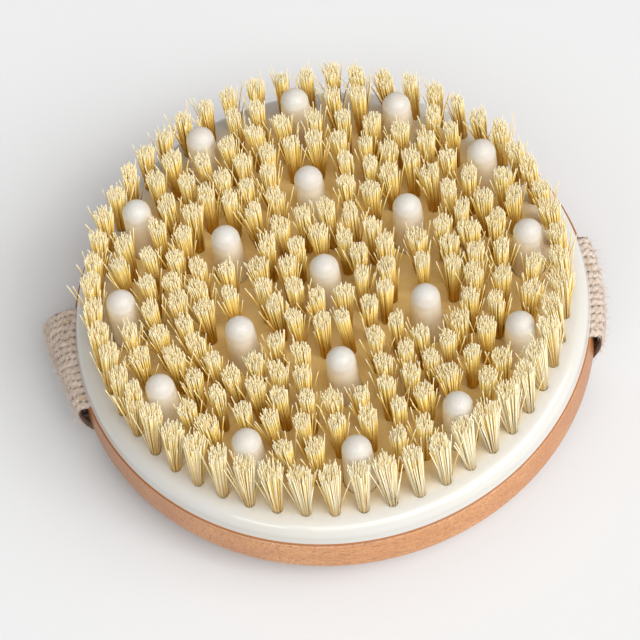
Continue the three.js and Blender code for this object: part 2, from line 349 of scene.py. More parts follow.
class Shader:
    """A material's nodes, with short ways to add and join them."""

    def __init__(self, name: str) -> None:
        """Starts a material with a bare surface.

        Args:
            name: The material's name.
        """
        self.material = bpy.data.materials.new(name)
        self.material.use_nodes = True
        self.tree = self.material.node_tree
        self.surface = next(n for n in self.tree.nodes if n.type == "BSDF_PRINCIPLED")

    def finished(self, **values: Any) -> bpy.types.Material:
        """Sets the surface's own values, as the last step.

        Args:
            values: A number, colour or node output for each input, with _ for the spaces in its name.

        Returns:
            The finished material.
        """
        for name, value in values.items():
            wanted = name.replace("_", " ").lower()
            socket = next(s for s in self.surface.inputs if s.name.lower() == wanted)
            self.feed(socket, value)
        return self.material

    def feed(self, socket: Socket, value: Any) -> None:
        """Sets or links one input.

        Args:
            socket: The input.
            value: A number, colour or vector, or another node's output.
        """
        if isinstance(value, Socket):
            self.tree.links.new(value, socket)
        elif socket.type == "RGBA":
            socket.default_value = (*value, 1.0)
        else:
            socket.default_value = value

    def add(self, kind: str, inputs: dict[int | str, Any], **settings: Any) -> bpy.types.Node:
        """Adds a node.

        Args:
            kind: The node's type after ShaderNode.
            inputs: What goes into its inputs, by name or number.
            settings: The node's own options.

        Returns:
            The new node.
        """
        node = self.tree.nodes.new("ShaderNode" + kind)
        for name, value in settings.items():
            setattr(node, name, value)
        for key, value in inputs.items():
            self.feed(node.inputs[key], value)
        return node

    def place(self) -> Socket:
        """Coordinates of the piece itself, in metres."""
        return self.add("TexCoord", {}).outputs["Object"]

    def coordinate(self, axis: str) -> Socket:
        """The place along one axis, in metres: X, Y or Z."""
        return self.add("SeparateXYZ", {"Vector": self.place()}).outputs[axis]

    def from_axis(self, aside: float = 0.0) -> Socket:
        """Distance from the head's axis, in metres.

        Args:
            aside: How far to the left of the axis the distance is taken from.

        Returns:
            The distance.
        """
        inputs = {"Vector": self.place(), "Location": (aside, 0.0, 0.0), "Scale": (1.0, 1.0, 0.0)}
        flat = self.add("Mapping", inputs).outputs["Vector"]
        return self.add("VectorMath", {0: flat}, operation="LENGTH").outputs["Value"]

    def noise(self, grain: Grain, turn: float = 0.0) -> Socket:
        """Soft random values from 0 to 1.

        Args:
            grain: How fine they are.
            turn: A turn about Z, in degrees.

        Returns:
            The values.
        """
        rotation = (0.0, 0.0, math.radians(turn))
        scale = (grain.x, grain.y, grain.z)
        scaled = self.add("Mapping", {"Vector": self.place(), "Rotation": rotation, "Scale": scale})
        layers = {"Scale": 1.0, "Detail": grain.layers, "Roughness": grain.roughness}
        return self.add("TexNoise", {"Vector": scaled.outputs["Vector"], **layers}).outputs["Fac"]

    def read(self, name: str) -> Socket:
        """The numbers that a mesh holds under a name."""
        return self.add("Attribute", {}, attribute_name=name).outputs["Fac"]

    def ramp(self, value: Socket, places: Sequence[float], colours: Sequence[Colour]) -> Socket:
        """Turns a number into a colour.

        Args:
            value: The number.
            places: The numbers from 0 to 1 that have a colour of their own.
            colours: The colour at each of these places.

        Returns:
            The colour.
        """
        node = self.add("ValToRGB", {"Fac": value})
        elements = node.color_ramp.elements
        while len(elements) < len(places):
            elements.new(1.0)
        for element, at, colour in zip(elements, places, colours):
            element.position = at
            element.color = (*colour, 1.0)
        return node.outputs["Color"]

    def span(self, value: Socket, low: float, high: float, start: float = 0.0, end: float = 1.0) -> Socket:
        """Maps the stretch from low to high onto the one from start to end, and holds it there."""
        inputs = {"Value": value, "From Min": low, "From Max": high, "To Min": start, "To Max": end}
        return self.add("MapRange", inputs, clamp=True).outputs["Result"]

    def mix(self, share: Socket, first: Socket, second: Colour) -> Socket:
        """Mixes two colours.

        Args:
            share: How much of the second colour there is.
            first: The first colour.
            second: The second colour.

        Returns:
            The mixed colour.
        """
        node = self.add("Mix", {}, data_type="RGBA")
        sockets = {s.identifier: s for s in node.inputs}
        self.feed(sockets["Factor_Float"], share)
        self.feed(sockets["A_Color"], first)
        self.feed(sockets["B_Color"], second)
        return next(s for s in node.outputs if s.identifier == "Result_Color")

    def times(self, first: Socket, second: Socket) -> Socket:
        """The product of two numbers."""
        return self.add("Math", {0: first, 1: second}, operation="MULTIPLY").outputs["Value"]

    def less(self, first: Socket, second: Socket) -> Socket:
        """The first number less the second."""
        return self.add("Math", {0: first, 1: second}, operation="SUBTRACT").outputs["Value"]

    def bump(self, height: Socket, depth: float, strength: float) -> Socket:
        """A normal bent by a relief too fine for the mesh, as deep in metres as depth says."""
        inputs = {"Height": height, "Distance": depth, "Strength": strength}
        return self.add("Bump", inputs).outputs["Normal"]


@dataclass(frozen=True)
class BeechFinish:
    """Oiled beech with long grain along the strap, soft bands and short dark flecks.

    The end grain on the left and on the right is darker, partly its own tone and partly painted
    shade. The narrow ledge round the plate is painted with shade, widest on the left, and the lip
    beside it carries a painted highlight.
    """

    pale: Colour = (0.79, 0.405, 0.172)
    deep: Colour = (0.63, 0.275, 0.102)
    fleck: Colour = (0.34, 0.125, 0.042)
    # Painted shade in the narrow ledge beside the plate
    ledge_shade: Colour = (0.34, 0.125, 0.035)
    # Painted highlight on the lip
    lip: Colour = (0.80, 0.52, 0.31)
    # The ends' darker colour: partly the end grain's own tone, partly painted shade
    end_grain_and_shade: Colour = (0.43, 0.16, 0.045)
    bands: Grain = Grain(14, 190, 190, 3)
    lines: Grain = Grain(90, 2100, 2100, 2)
    dashes: Grain = Grain(260, 2600, 2600, 1)
    pores: Grain = Grain(900, 4200, 4200, 2)
    grain_turn: float = 6.0
    band_ends: Pair = (0.32, 0.68)
    line_share: Span = (0.42, 0.60, 0.0, 0.65)
    dash_share: Span = (0.56, 0.66, 0.0, 0.7)
    pore_share: Span = (0.46, 0.70, 0.0, 0.65)
    end_grain_and_shade_reach: Span = ((30 * MM) ** 2, (60 * MM) ** 2, 0.0, 0.8)
    ledge_shade_height: Span = (19.72 * MM, 19.85 * MM, 0.0, 0.95)
    ledge_shade_edge: Pair = (63.85 * MM, 63.65 * MM)
    ledge_shade_shift: float = 0.35 * MM
    lip_highlight_height: Pair = (19.0 * MM, 19.35 * MM)
    lip_highlight_share: Span = (0.56, 0.44, 0.0, 0.7)
    roughness: Span = (0.3, 0.7, 0.24, 0.46)
    relief: Pair = (0.03 * MM, 0.7)
    specular: float = 0.5

    def material(self) -> bpy.types.Material:
        """Makes the material.

        Returns:
            The finished material.
        """
        shader = Shader("oiled_beech")
        bands = shader.noise(self.bands, self.grain_turn)
        lines = shader.noise(self.lines, self.grain_turn)
        dashes = shader.noise(self.dashes, self.grain_turn)
        pores = shader.noise(self.pores, self.grain_turn)
        ground = shader.ramp(bands, self.band_ends, (self.deep, self.pale))
        lined = shader.mix(shader.span(lines, *self.line_share), ground, self.deep)
        share = shader.span(dashes, *self.dash_share)
        flecked = shader.mix(share, lined, self.fleck)
        speckled = shader.mix(shader.span(pores, *self.pore_share), flecked, self.fleck)
        height = shader.coordinate("Z")
        # Painted highlight on the lip, broken up by the pores
        lip_highlight = shader.times(shader.span(height, *self.lip_highlight_height), shader.span(pores, *self.lip_highlight_share))
        aside = shader.coordinate("X")
        # Darker towards both ends along X: the end grain's own tone and painted shade
        ends = shader.span(shader.times(aside, aside), *self.end_grain_and_shade_reach)
        highlit_and_shaded = shader.mix(ends, shader.mix(lip_highlight, speckled, self.lip), self.end_grain_and_shade)
        # Painted shade in the ledge next to the plate, shifted so that it is widest on the left
        level = shader.span(height, *self.ledge_shade_height)
        inner = shader.span(shader.from_axis(self.ledge_shade_shift), *self.ledge_shade_edge)
        return shader.finished(
            base_color=shader.mix(shader.times(level, inner), highlit_and_shaded, self.ledge_shade),
            roughness=shader.span(pores, *self.roughness),
            normal=shader.bump(shader.less(pores, share), *self.relief),
            specular_ior_level=self.specular,
        )


@dataclass(frozen=True)
class IvoryFinish:
    """Glossy moulded ivory plastic, a little uneven, with painted golden bounce light between the tufts."""

    pale: Colour = (0.655, 0.65, 0.625)
    warm: Colour = (0.66, 0.642, 0.59)
    # Painted golden light, bounced from the bristles, between the tufts
    bristle_bounce_gold: Colour = (0.95, 0.68, 0.22)
    clouds: Grain = Grain(60, 60, 60, 2)
    waves: Grain = Grain(120, 120, 120, 1)
    cloud_ends: Pair = (0.3, 0.7)
    bristle_bounce_from: Span = (58.5 * MM, 50 * MM, 0.0, 0.85)
    roughness: Span = (0.3, 0.7, 0.09, 0.14)
    relief: Pair = (0.03 * MM, 0.3)
    specular: float = 0.5

    def material(self) -> bpy.types.Material:
        """Makes the material.

        Returns:
            The finished material.
        """
        shader = Shader("ivory_plastic")
        clouds = shader.noise(self.clouds)
        waves = shader.noise(self.waves)
        ivory = shader.ramp(clouds, self.cloud_ends, (self.warm, self.pale))
        # Painted golden bounce light on the plate, from a little inside the rim inward
        dust = shader.span(shader.from_axis(), *self.bristle_bounce_from)
        return shader.finished(
            base_color=shader.mix(dust, ivory, self.bristle_bounce_gold),
            roughness=shader.span(clouds, *self.roughness),
            normal=shader.bump(waves, *self.relief),
            specular_ior_level=self.specular,
        )


@dataclass(frozen=True)
class RubberFinish:
    """Soft matte moulded rubber: a top mottled with dust over a body painted paler as painted light.

    The body is also warmer low down, as painted golden light bounced from the bristles.
    """

    pale: Colour = (0.645, 0.635, 0.595)
    rose: Colour = (0.64, 0.59, 0.53)
    dust: Colour = (0.62, 0.53, 0.445)
    # Painted light on the nodule's shaded sides, below the top
    painted_body_light: Colour = (0.93, 0.86, 0.755)
    # Painted golden light bounced from the bristles, low on the nodule
    bristle_bounce_glow: Colour = (0.96, 0.84, 0.60)
    clouds: Grain = Grain(320, 320, 320, 3)
    mottle: Grain = Grain(1500, 1500, 1500, 3)
    cloud_ends: Pair = (0.3, 0.65)
    dust_share: Span = (0.5, 0.72, 0.0, 0.6)
    body_light_height: Span = (41.2 * MM, 38.2 * MM, 0.0, 0.9)
    bounce_glow_height: Span = (39 * MM, 31 * MM, 0.0, 0.85)
    roughness: Span = (0.3, 0.7, 0.36, 0.52)
    relief: Pair = (0.05 * MM, 0.6)
    specular: float = 0.45
    glow: float = 0.3
    glow_reach: Colour = (1.0, 0.7, 0.5)
    glow_depth: float = 0.8 * MM

    def material(self) -> bpy.types.Material:
        """Makes the material.

        Returns:
            The finished material.
        """
        shader = Shader("pearl_rubber")
        clouds = shader.noise(self.clouds)
        mottle = shader.noise(self.mottle)
        body = shader.ramp(clouds, self.cloud_ends, (self.rose, self.pale))
        mottled = shader.mix(shader.span(mottle, *self.dust_share), body, self.dust)
        height = shader.coordinate("Z")
        # The body below the top is painted paler, as painted light on its shaded sides
        body_lit = shader.mix(shader.span(height, *self.body_light_height), mottled, self.painted_body_light)
        return shader.finished(
            # Painted golden bounce light from the bristles, low on the peg
            base_color=shader.mix(shader.span(height, *self.bounce_glow_height), body_lit, self.bristle_bounce_glow),
            roughness=shader.span(mottle, *self.roughness),
            normal=shader.bump(mottle, *self.relief),
            specular_ior_level=self.specular,
            subsurface_weight=self.glow,
            subsurface_radius=self.glow_reach,
            subsurface_scale=self.glow_depth,
        )


@dataclass(frozen=True)
class FibreFinish:
    """Natural plant fibre, golden at the root and pale at the cut tip.

    The outer ring's outer fibres are painted paler at the front as painted light, and paler still at
    the front right as painted light from the key. The inner fibres of each tuft are painted deeper
    golden, as painted shade and glow inside the tuft.
    """

    root: Colour = (0.97, 0.56, 0.045)
    golden: Colour = (0.97, 0.635, 0.094)
    straw: Colour = (0.96, 0.705, 0.168)
    pale: Colour = (0.95, 0.75, 0.255)
    cream: Colour = (0.94, 0.80, 0.375)
    tip: Colour = (0.87, 0.795, 0.59)
    # Painted light on the outer ring at the front
    painted_front_light: Colour = (0.97, 0.915, 0.70)
    # Painted light from the key on the outer fibres at the front right
    painted_key_light: Colour = (0.985, 0.91, 0.68)
    tones: tuple[float, ...] = (0.0, 0.22, 0.68, 1.0)
    root_share: Span = (0.85, 0.15, 0.0, 0.9)
    tip_share: Span = (0.84, 1.0, 0.0, 0.95)
    outer_ring: Pair = (51 * MM, 56 * MM)
    front: Span = (-10 * MM, -48 * MM, 0.1, 0.8)
    front_light_tone: Span = (0.55, 0.8, 0.1, 1.0)
    front_light_length: Span = (0.0, 0.45, 0.6, 1.0)
    key_light_side: Pair = (20 * MM, 60 * MM)
    key_light_front: Span = (-5 * MM, -30 * MM, 0.0, 0.9)
    key_light_tone: Span = (0.6, 0.8, 0.1, 1.0)
    key_light_length: Span = (0.05, 0.5, 0.45, 1.0)
    roughness: float = 0.5
    specular: float = 0.12

    def material(self) -> bpy.types.Material:
        """Makes the material.

        Returns:
            The finished material.
        """
        shader = Shader("plant_fibre")
        tone = shader.read("tone")
        along = shader.read("along")
        # Tone is low in a tuft's middle, so inner fibres are painted deeper golden as painted shade and
        # glow
        plain = shader.ramp(tone, self.tones, (self.golden, self.straw, self.pale, self.cream))
        edge = shader.span(shader.from_axis(), *self.outer_ring)
        # Painted light on the outer ring's outer fibres at the front
        front_light_ring = shader.times(edge, shader.span(shader.coordinate("Y"), *self.front))
        rooted = shader.mix(shader.span(along, *self.root_share), plain, self.root)
        outside = shader.times(front_light_ring, shader.span(tone, *self.front_light_tone))
        front_light_share = shader.times(outside, shader.span(along, *self.front_light_length))
        front_lit = shader.mix(front_light_share, rooted, self.painted_front_light)
        cut = shader.mix(shader.span(along, *self.tip_share), front_lit, self.tip)
        # Painted light from the key on the outer fibres at the front right
        aside = shader.less(shader.coordinate("X"), shader.coordinate("Y"))
        front = shader.span(shader.coordinate("Y"), *self.key_light_front)
        key_light_place = shader.times(shader.span(aside, *self.key_light_side), front)
        key_light_fibres = shader.times(shader.span(tone, *self.key_light_tone), shader.span(along, *self.key_light_length))
        key_light_share = shader.times(edge, shader.times(key_light_place, key_light_fibres))
        return shader.finished(
            base_color=shader.mix(key_light_share, cut, self.painted_key_light),
            roughness=self.roughness,
            specular_ior_level=self.specular,
        )


@dataclass(frozen=True)
class WebbingFinish:
    """Coarse unbleached cotton with a few ochre specks, and painted shade between its ribs and stitches."""

    crest: Colour = (0.60, 0.485, 0.40)
    pale: Colour = (0.73, 0.63, 0.555)
    # Painted shade in the grooves between ribs and stitches
    groove: Colour = (0.11, 0.065, 0.045)
    ochre: Colour = (0.50, 0.31, 0.10)
    fibres: Grain = Grain(3800, 3800, 3800, 3)
    clouds: Grain = Grain(420, 420, 420, 2)
    specks: Grain = Grain(700, 900, 900, 0)
    cloud_ends: Pair = (0.35, 0.65)
    fibre_share: Span = (0.4, 0.7, 0.0, 0.35)
    groove_shade_share: Span = (0.5, 0.12, 0.0, 0.85)
    speck_share: Span = (0.70, 0.76, 0.0, 0.6)
    relief: Pair = (0.12 * MM, 0.8)
    roughness: float = 0.95
    specular: float = 0.15

    def material(self) -> bpy.types.Material:
        """Makes the material.

        Returns:
            The finished material.
        """
        shader = Shader("cotton_webbing")
        rise = shader.read("rise")
        fibres = shader.noise(self.fibres)
        clouds = shader.noise(self.clouds)
        specks = shader.noise(self.specks)
        yarn = shader.ramp(clouds, self.cloud_ends, (self.crest, self.pale))
        dusted = shader.mix(shader.span(fibres, *self.fibre_share), yarn, self.crest)
        # Painted shade where the webbing sinks between ribs and stitches
        shaded = shader.mix(shader.span(rise, *self.groove_shade_share), dusted, self.groove)
        return shader.finished(
            base_color=shader.mix(shader.span(specks, *self.speck_share), shaded, self.ochre),
            roughness=self.roughness,
            normal=shader.bump(fibres, *self.relief),
            specular_ior_level=self.specular,
        )


@dataclass(frozen=True)
class LintFinish:
    """Loose cotton fibres of the strap, paler than the yarn."""

    shade: Colour = (0.64, 0.545, 0.47)
    light: Colour = (0.82, 0.745, 0.68)
    tone_ends: Pair = (0.1, 0.9)
    roughness: Span = (0.0, 1.0, 0.95, 0.8)
    specular: float = 0.15

    def material(self) -> bpy.types.Material:
        """Makes the material.

        Returns:
            The finished material.
        """
        shader = Shader("cotton_lint")
        return shader.finished(
            base_color=shader.ramp(shader.read("tone"), self.tone_ends, (self.shade, self.light)),
            roughness=shader.span(shader.read("along"), *self.roughness),
            specular_ior_level=self.specular,
        )


@dataclass(frozen=True)
class SteelFinish:
    """Galvanised wire of the staples."""

    dull: Colour = (0.42, 0.43, 0.44)
    bright: Colour = (0.62, 0.63, 0.64)
    clouds: Grain = Grain(900, 900, 900, 2)
    cloud_ends: Pair = (0.35, 0.65)
    roughness: Span = (0.3, 0.7, 0.28, 0.45)

    def material(self) -> bpy.types.Material:
        """Makes the material.

        Returns:
            The finished material.
        """
        shader = Shader("staple_wire")
        clouds = shader.noise(self.clouds)
        return shader.finished(
            base_color=shader.ramp(clouds, self.cloud_ends, (self.dull, self.bright)),
            roughness=shader.span(clouds, *self.roughness),
            metallic=1.0,
        )


@dataclass(frozen=True)
class PaperFinish:
    """Plain white paper of the floor."""

    white: Colour = (0.715, 0.726, 0.737)
    tooth: Grain = Grain(700, 700, 700, 2)
    relief: Pair = (0.1 * MM, 0.25)
    roughness: float = 0.9
    specular: float = 0.2

    def material(self) -> bpy.types.Material:
        """Makes the material.

        Returns:
            The finished material.
        """
        shader = Shader("floor_paper")
        return shader.finished(
            base_color=self.white,
            roughness=self.roughness,
            normal=shader.bump(shader.noise(self.tooth), *self.relief),
            specular_ior_level=self.specular,
        )


# Sub-assemblies


@dataclass
class StrapLine:
    """The line that the strap's middle follows over the brush, seen from above."""

    offset: float = -3.5 * MM
    slope: float = -0.0385

    def at(self, x: Any) -> Any:
        """Gives the Y of the strap's middle at one place along X, or at several."""
        return self.offset + self.slope * x


@dataclass
class WoodenBack:
    """The turned wooden disc with a channel for each end of the strap."""

    line: StrapLine
    strap_width: float
    node: str = "wooden_back"
    edge_radius: float = 3 * MM
    lip_radius: float = 0.35 * MM
    flank: float = 0.72 * MM
    channel_depth: float = 1.8 * MM
    channel_gap: float = 0.35 * MM
    channel_end: float = 37.5 * MM
    overcut: float = 4 * MM
    segments: int = 240
    edge_steps: int = 12
    lip_steps: int = 6
    crease: float = 30.0
    finish: BeechFinish = BeechFinish()

    def __post_init__(self) -> None:
        """Takes the disc's size from its node."""
        self.radius, self.bottom, self.top = round_size(self.node)

    def channel(self, side: Side) -> Shape:
        """The room of one end of the strap.

        Args:
            side: The side that the end leaves on.

        Returns:
            A box along the strap's line, open past the rim and above the wood.
        """
        half = self.strap_width / 2 + self.channel_gap
        ends = [side.value * self.channel_end, side.value * (self.radius + self.overcut)]
        corners = [(ends[0], -half), (ends[1], -half), (ends[1], half), (ends[0], half)]
        if side is Side.LEFT:
            corners.reverse()
        heights = (self.top - self.channel_depth, self.top + self.overcut)
        points = [(x, self.line.at(x) + y, z) for z in heights for x, y in corners]
        walls = [(k, (k + 1) % 4, (k + 1) % 4 + 4, k + 4) for k in range(4)]
        return Shape(np.array(points), [(3, 2, 1, 0), (4, 5, 6, 7), *walls])

    def build(self) -> Piece:
        """Makes the disc.

        Returns:
            The finished piece.
        """
        edge = self.radius - self.edge_radius
        lip = self.radius - self.flank - self.lip_radius
        profile = [
            (0.0, self.bottom),
            (edge / 2, self.bottom),
            *arc((edge, self.bottom + self.edge_radius), self.edge_radius, -90, 0, self.edge_steps),
            *arc((lip, self.top - self.lip_radius), self.lip_radius, 0, 90, self.lip_steps),
            (edge / 2, self.top),
            (0.0, self.top),
        ]
        piece = turned(profile, self.segments).piece("beech_back")
        subtract(piece, Shape.joined(self.channel(side) for side in Side))
        smooth(piece, self.crease)
        return piece

    def dress(self, piece: Piece) -> None:
        """Gives the disc its wood."""
        fit(piece, self.finish.material(), [self.node])


@dataclass
class MassageNodules:
    """The moulded rubber pegs with round tops, each seated in its own socket."""

    count: int = 19
    dome_radius: float = 3.5 * MM
    foot_chamfer: float = 0.4 * MM
    segments: int = 48
    dome_steps: int = 16
    crease: float = 40.0
    finish: RubberFinish = RubberFinish()

    def __post_init__(self) -> None:
        """Takes the pegs' size and places from their nodes."""
        self.nodes = [f"massage_nodule_{k + 1:02d}" for k in range(self.count)]
        self.base_radius, self.bottom, self.top = round_size(self.nodes[0])
        boxes = [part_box(node) for node in self.nodes]
        self.places = np.array([((low + high) / 2)[:2] for low, high in boxes])

    def build(self, plate_top: float) -> list[Piece]:
        """Makes the pegs.

        Args:
            plate_top: The height of the plate's face.

        Returns:
            One piece for each peg.
        """
        centre = self.top - self.dome_radius
        taper = math.degrees(math.atan2(self.base_radius - self.dome_radius, centre - plate_top))
        profile = [
            (0.0, self.bottom),
            (self.base_radius - self.foot_chamfer, self.bottom),
            (self.base_radius, self.bottom + self.foot_chamfer),
            (self.base_radius, plate_top),
            *arc((0.0, centre), self.dome_radius, taper, 90, self.dome_steps)[:-1],
            (0.0, self.top),
        ]
        peg = turned(profile, self.segments)
        pieces = []
        for node, (x, y) in zip(self.nodes, self.places):
            piece = peg.moved(x, y).piece(node.replace("massage", "rubber"))
            smooth(piece, self.crease)
            pieces.append(piece)
        return pieces

    def dress(self, pieces: Sequence[Piece]) -> None:
        """Gives the pegs their rubber.

        Args:
            pieces: The pegs.
        """
        material = self.finish.material()
        for piece, node in zip(pieces, self.nodes):
            fit(piece, material, [node])


@dataclass(frozen=True)
class TuftRing:
    """A ring of tufts: equal sectors that repeat the same offsets, with angles in degrees.

    Tufts that stand free fan out more than those that hold each other up, most of all where they
    are splayed by use at the front, and they lean towards the axis.
    """

    radius: float
    sectors: int
    first: float
    offsets: tuple[float, ...] = (0.0,)
    fan: float = 1.0
    splay: float = 0.0
    lean: float = 0.0

    def places(self) -> list[Pair]:
        """The tufts' places on the plate.

        Returns:
            X and Y of each tuft.
        """
        angles = [
            math.radians(self.first + 360 * k / self.sectors + offset)
            for k in range(self.sectors)
            for offset in self.offsets
        ]
        return [(self.radius * math.cos(a), self.radius * math.sin(a)) for a in angles]


TUFT_GROUPS: dict[str, tuple[TuftRing, ...]] = {
    "centre": (TuftRing(9 * MM, 9, 10), TuftRing(15.4 * MM, 16, 11)),
    "inner": (TuftRing(23.3 * MM, 6, 0, (-8, 8)), TuftRing(30.2 * MM, 6, 0, (-11, 0, 11))),
    "middle": (TuftRing(35.9 * MM, 36, 5), TuftRing(42.2 * MM, 36, 5)),
    "outer": (
        TuftRing(49 * MM, 12, 15, (-3.75, 3.75)),
        TuftRing(57 * MM, 53, 4.5, fan=1.13, splay=0.17, lean=1.6 * MM),
    ),
}


@dataclass
class BristlePlate:
    """The moulded plate with its rounded shoulder, the nodules' sockets and a hole for each tuft."""

    nodules: MassageNodules
    node: str = "bristle_plate"
    shoulder: float = 3.4 * MM
    draft: float = 0.4 * MM
    socket_gap: float = 0.2 * MM
    hole_radius: float = 1.28 * MM
    hole_depth: float = 0.28 * MM
    edge_flare: float = 0.1 * MM
    flare_middle: float = 0.3
    overcut: float = 2 * MM
    segments: int = 240
    shoulder_steps: int = 14
    socket_segments: int = 48
    hole_segments: int = 20
    crease: float = 30.0
    finish: IvoryFinish = IvoryFinish()

    def __post_init__(self) -> None:
        """Takes the plate's size from its node."""
        self.radius, self.bottom, self.top = round_size(self.node)

    def opening(self, radius: float, floor: float, segments: int) -> Shape:
        """A round hole with a softened mouth.

        Args:
            radius: The hole's radius.
            floor: The height of its floor.
            segments: How many steps go round.

        Returns:
            The shape to cut away.
        """
        mouth = radius + self.edge_flare
        middle = self.edge_flare * self.flare_middle
        profile = [
            (0.0, floor),
            (radius, floor),
            (radius, self.top - self.edge_flare),
            (radius + middle, self.top - middle),
            (mouth, self.top),
            (mouth, self.top + self.overcut),
            (0.0, self.top + self.overcut),
        ]
        return turned(profile, segments)

    def build(self) -> Piece:
        """Makes the plate.

        Returns:
            The finished piece.
        """
        inner = self.radius - self.draft - self.shoulder
        profile = [
            (0.0, self.bottom),
            (self.radius, self.bottom),
            *arc((inner, self.top - self.shoulder), self.shoulder, 0, 90, self.shoulder_steps),
            (0.0, self.top),
        ]
        piece = turned(profile, self.segments).piece("ivory_plate")
        wide = self.nodules.base_radius + self.socket_gap
        socket = self.opening(wide, self.nodules.bottom, self.socket_segments)
        hole = self.opening(self.hole_radius, self.top - self.hole_depth, self.hole_segments)
        sockets = [socket.moved(x, y) for x, y in self.nodules.places]
        rings = [ring for group in TUFT_GROUPS.values() for ring in group]
        holes = [hole.moved(x, y) for ring in rings for x, y in ring.places()]
        subtract(piece, Shape.joined([*sockets, *holes]))
        smooth(piece, self.crease)
        return piece

    def dress(self, piece: Piece) -> None:
        """Gives the plate its plastic."""
        fit(piece, self.finish.material(), [self.node])


@dataclass
class BristleField:
    """The tufts: bundles of fibre that are tight in their holes and fan out to ragged tips."""

    plate: BristlePlate
    nodules: MassageNodules
    length: float = 17.5 * MM
    ragged: float = 0.42 * MM
    slope: float = 0.5 * MM
    root_depth: float = 0.24 * MM
    root_radius: float = 1.2 * MM
    tip_radius: float = 1.97 * MM
    tip_scatter: float = 0.11 * MM
    lean: float = 0.3 * MM
    swirl: float = 0.15
    width_range: Pair = (0.88, 1.14)
    oval: Pair = (0.0, 0.3)
    bow: float = 0.045 * MM
    bend: float = 1.15
    taper: Pair = (1.25, 0.95)
    nodule_gap: float = 0.3 * MM
    inner_shade_by_place: float = 0.6
    tone_shape: Pair = (2.2, 1.8)
    stray_share: float = 0.07
    stray_reach: Pair = (0.6 * MM, 3.5 * MM)
    short_share: float = 0.06
    short_by: Pair = (1.0 * MM, 4.0 * MM)
    fibre_radius: Pair = (0.112 * MM, 0.14 * MM)
    per_tuft: int = 108
    sides: int = 4
    stations: tuple[float, ...] = (0.0, 0.5, 1.0)
    seed: int = 20
    finish: FibreFinish = FibreFinish()

    def __post_init__(self) -> None:
        """Starts the one row of random numbers that all tufts draw from, and places the fibres."""
        self.draw = np.random.default_rng(self.seed)
        self.order = np.arange(self.per_tuft)
        self.shares = np.sqrt((self.order + 0.5) / self.per_tuft)

    def roots_and_tips(self, place: Pair, ring: TuftRing) -> tuple[np.ndarray, np.ndarray]:
        """Draws the bristles of one tuft.

        Args:
            place: The tuft's place on the plate.
            ring: The ring that it belongs to.

        Returns:
            The bristles' roots and tips, one a row.
        """
        draw = self.draw
        count = self.per_tuft
        start = draw.uniform(0, FULL_TURN)
        angle = self.order * GOLDEN_ANGLE + start + draw.normal(0, self.swirl, count)
        around = np.stack([np.cos(angle), np.sin(angle)], 1)
        within = self.shares[:, None] * around
        fan_angle = draw.uniform(0, math.pi)
        fan = np.array([math.cos(fan_angle), math.sin(fan_angle)])
        fanned = ring.fan - ring.splay * place[1] / ring.radius
        spread = within * (self.tip_radius * fanned * draw.uniform(*self.width_range))
        spread += (spread @ fan)[:, None] * fan * draw.uniform(*self.oval)
        spread += draw.normal(0, self.tip_scatter, (count, 2))
        spread += draw.normal(0, self.lean, 2) - np.array(place) * (ring.lean / ring.radius)
        stray = draw.uniform(0, 1, count) < self.stray_share
        reach = draw.uniform(*self.stray_reach, count) * stray
        spread += around * reach[:, None]
        height = self.length + draw.normal(0, self.ragged, count)
        height += self.slope * draw.normal() * within @ fan
        short = draw.uniform(0, 1, count) < self.short_share
        height -= draw.uniform(*self.short_by, count) * short
        height -= stray * np.square(np.linalg.norm(spread, axis=1)) / (2 * self.length)
        middle = np.array(place)
        floor = np.full(count, self.plate.top - self.root_depth)
        roots = np.column_stack([middle + within * self.root_radius, floor])
        tips = np.column_stack([middle + spread, self.plate.top + height])
        return roots, self.clear_of_nodules(tips)

    def clear_of_nodules(self, tips: np.ndarray) -> np.ndarray:
        """Moves tips out of the nodules beside them.

        Args:
            tips: The tips, one a row.

        Returns:
            The tips, none inside a nodule.
        """
        room = self.nodules.base_radius + self.nodule_gap
        moved = tips.copy()
        for place in self.nodules.places:
            away = moved[:, :2] - place
            distance = np.linalg.norm(away, axis=1)
            inside = distance < room
            moved[inside, :2] = place + away[inside] * (room / distance[inside])[:, None]
        return moved

    def build(self, group: str) -> Piece:
        """Makes the bristles of one group of rings.

        Args:
            group: The group's name.

        Returns:
            One piece with all its bristles.
        """
        rings = TUFT_GROUPS[group]
        drawn = [self.roots_and_tips(place, ring) for ring in rings for place in ring.places()]
        roots = np.concatenate([roots for roots, _ in drawn])
        tips = np.concatenate([tips for _, tips in drawn])
        count = len(roots)
        along = np.array(self.stations)
        across = (tips - roots)[:, None, :2] * (along**self.bend)[None, :, None]
        bows = self.draw.normal(0, self.bow, (count, 1, 2)) * np.sin(math.pi * along)[None, :, None]
        flat = roots[:, None, :2] + across + bows
        height = roots[:, None, 2] + (tips - roots)[:, None, 2] * along[None, :]
        centres = np.concatenate([flat, height[:, :, None]], 2)
        thickness = np.interp(along, (0, 1), self.taper)
        radii = self.draw.uniform(*self.fibre_radius, count)[:, None] * thickness
        turns = self.draw.uniform(0, FULL_TURN, count)
        mesh = strands("bristles_" + group, centres, radii, turns, self.sides)
        # Tone rises from the tuft's middle outward, painting inner fibres deeper as painted shade and glow,
        # with random tone on top
        tone = self.inner_shade_by_place * np.tile(self.shares, len(drawn))
        tone += (1 - self.inner_shade_by_place) * self.draw.beta(*self.tone_shape, count)
        tint_strands(mesh, tone, along, self.sides)
        return linked(mesh.name, mesh)

    def dress(self, pieces: dict[str, Piece]) -> None:
        """Gives the bristles their fibre.

        Args:
            pieces: The bristles of each group.
        """
        material = self.finish.material()
        for group, piece in pieces.items():
            fit(piece, material, ["tufts_" + group])


@dataclass(frozen=True)
class StrapLoop:
    """How far the strap stands out past the wood on one side, at its near and its far edge."""

    side: Side
    near_bulge: float
    far_bulge: float
    growth: float


